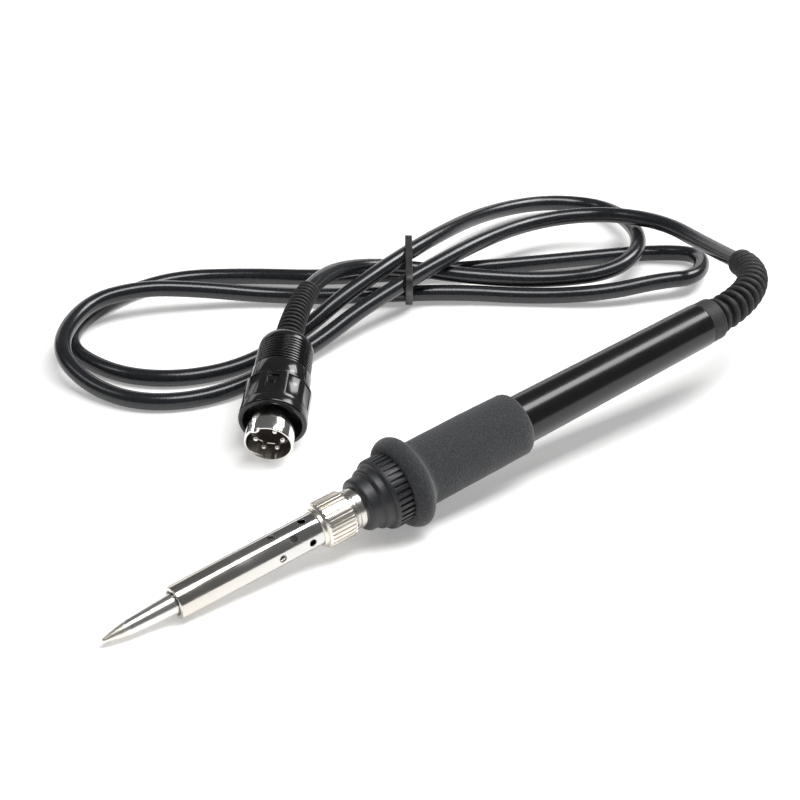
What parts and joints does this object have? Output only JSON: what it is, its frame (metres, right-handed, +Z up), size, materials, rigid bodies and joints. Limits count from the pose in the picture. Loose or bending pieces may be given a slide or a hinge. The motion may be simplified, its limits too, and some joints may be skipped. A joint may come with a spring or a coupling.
{
  "type": "soldering iron",
  "caption": "Pencil-type station soldering iron with a conical tip, vented pipe, union nut, flanged foam grip and a bundled cord that ends in a locking round plug.",
  "frame": {"origin": "on the floor under the middle of the iron, whose pipe mouth and grip flange both touch the floor", "axes": "+X from the tip towards the cord end of the handle, +Y towards the bundled cord and plug, +Z up"},
  "size_m": [0.2447, 0.1587, 0.0307],
  "materials": {
    "tip_plate": "polished nickel plate with a tinned end",
    "pipe_steel": "polished stainless steel",
    "nut_nickel": "nickel plate, straight knurl",
    "nipple_nickel": "nickel plate",
    "collar_black": "satin moulded plastic",
    "handle_black": "glossy moulded plastic",
    "grip_foam": "matte closed-cell foam",
    "relief_rubber": "matte moulded rubber",
    "cord_pvc": "satin PVC jacket",
    "tie_black": "thin plastic-coated band",
    "plug_black": "glossy moulded plastic",
    "plug_chrome": "bright chrome",
    "insulator_brown": "dark moulded insulator",
    "pin_silver": "silver plate",
    "ceramic_white": "fired ceramic",
    "board_green": "glass-fibre board",
    "tinned_copper": "tinned",
    "wire_insulation": "extruded insulation",
    "clip_steel": "spring steel"
  },
  "bodies": {
    "handle": {"foam_grip": "grip_foam", "handle_tube": "handle_black", "heater_core": "ceramic_white", "heater_base": "ceramic_white", "heater_leads": "tinned_copper", "terminal_board": "board_green", "board_terminals": "tinned_copper", "cord_wires": "wire_insulation", "ground_clip": "clip_steel", "handle_cord_tail": "cord_pvc", "cord_clamp": "clip_steel", "plug_shield": "plug_chrome", "plug_insulator": "insulator_brown", "plug_pins": "pin_silver", "plug_body": "plug_black", "plug_cap": "plug_black", "plug_tail": "cord_pvc", "plug_clamp": "clip_steel", "plug_wires": "wire_insulation", "strain_relief": "relief_rubber", "plug_boot": "plug_black", "cord": "cord_pvc", "cord_tie": "tie_black"},
    "nose": {"nose_collar": "collar_black", "nose_nipple": "nipple_nickel"},
    "tip": {"soldering_tip": "tip_plate"},
    "pipe": {"enclosure_pipe": "pipe_steel"},
    "nut": {"union_nut": "nut_nickel"},
    "plug_ring": {"plug_lock_ring": "plug_black"}
  },
  "joints": [
    {"name": "nose_turn", "type": "hinge", "parent": "handle", "child": "nose", "pos_m": [-0.01248, 0, 0.01172], "axis": [0.9929, 0, 0.1191], "continuous": true},
    {"name": "tip_slide", "type": "slide", "parent": "nose", "child": "tip", "axis": [-0.9929, 0, -0.1191], "range_m": [0, 0.03]},
    {"name": "pipe_slide", "type": "slide", "parent": "tip", "child": "pipe", "axis": [-0.9929, 0, -0.1191], "range_m": [0, 0.065]},
    {"name": "nut_turn", "type": "hinge", "parent": "pipe", "child": "nut", "pos_m": [-0.02936, 0, 0.0097], "axis": [0.9929, 0, 0.1191], "continuous": true},
    {"name": "plug_ring_turn", "type": "hinge", "parent": "handle", "child": "plug_ring", "pos_m": [-0.01168, 0.0524, 0.01099], "axis": [-0.641, -0.72, -0.266], "continuous": true}
  ]
}
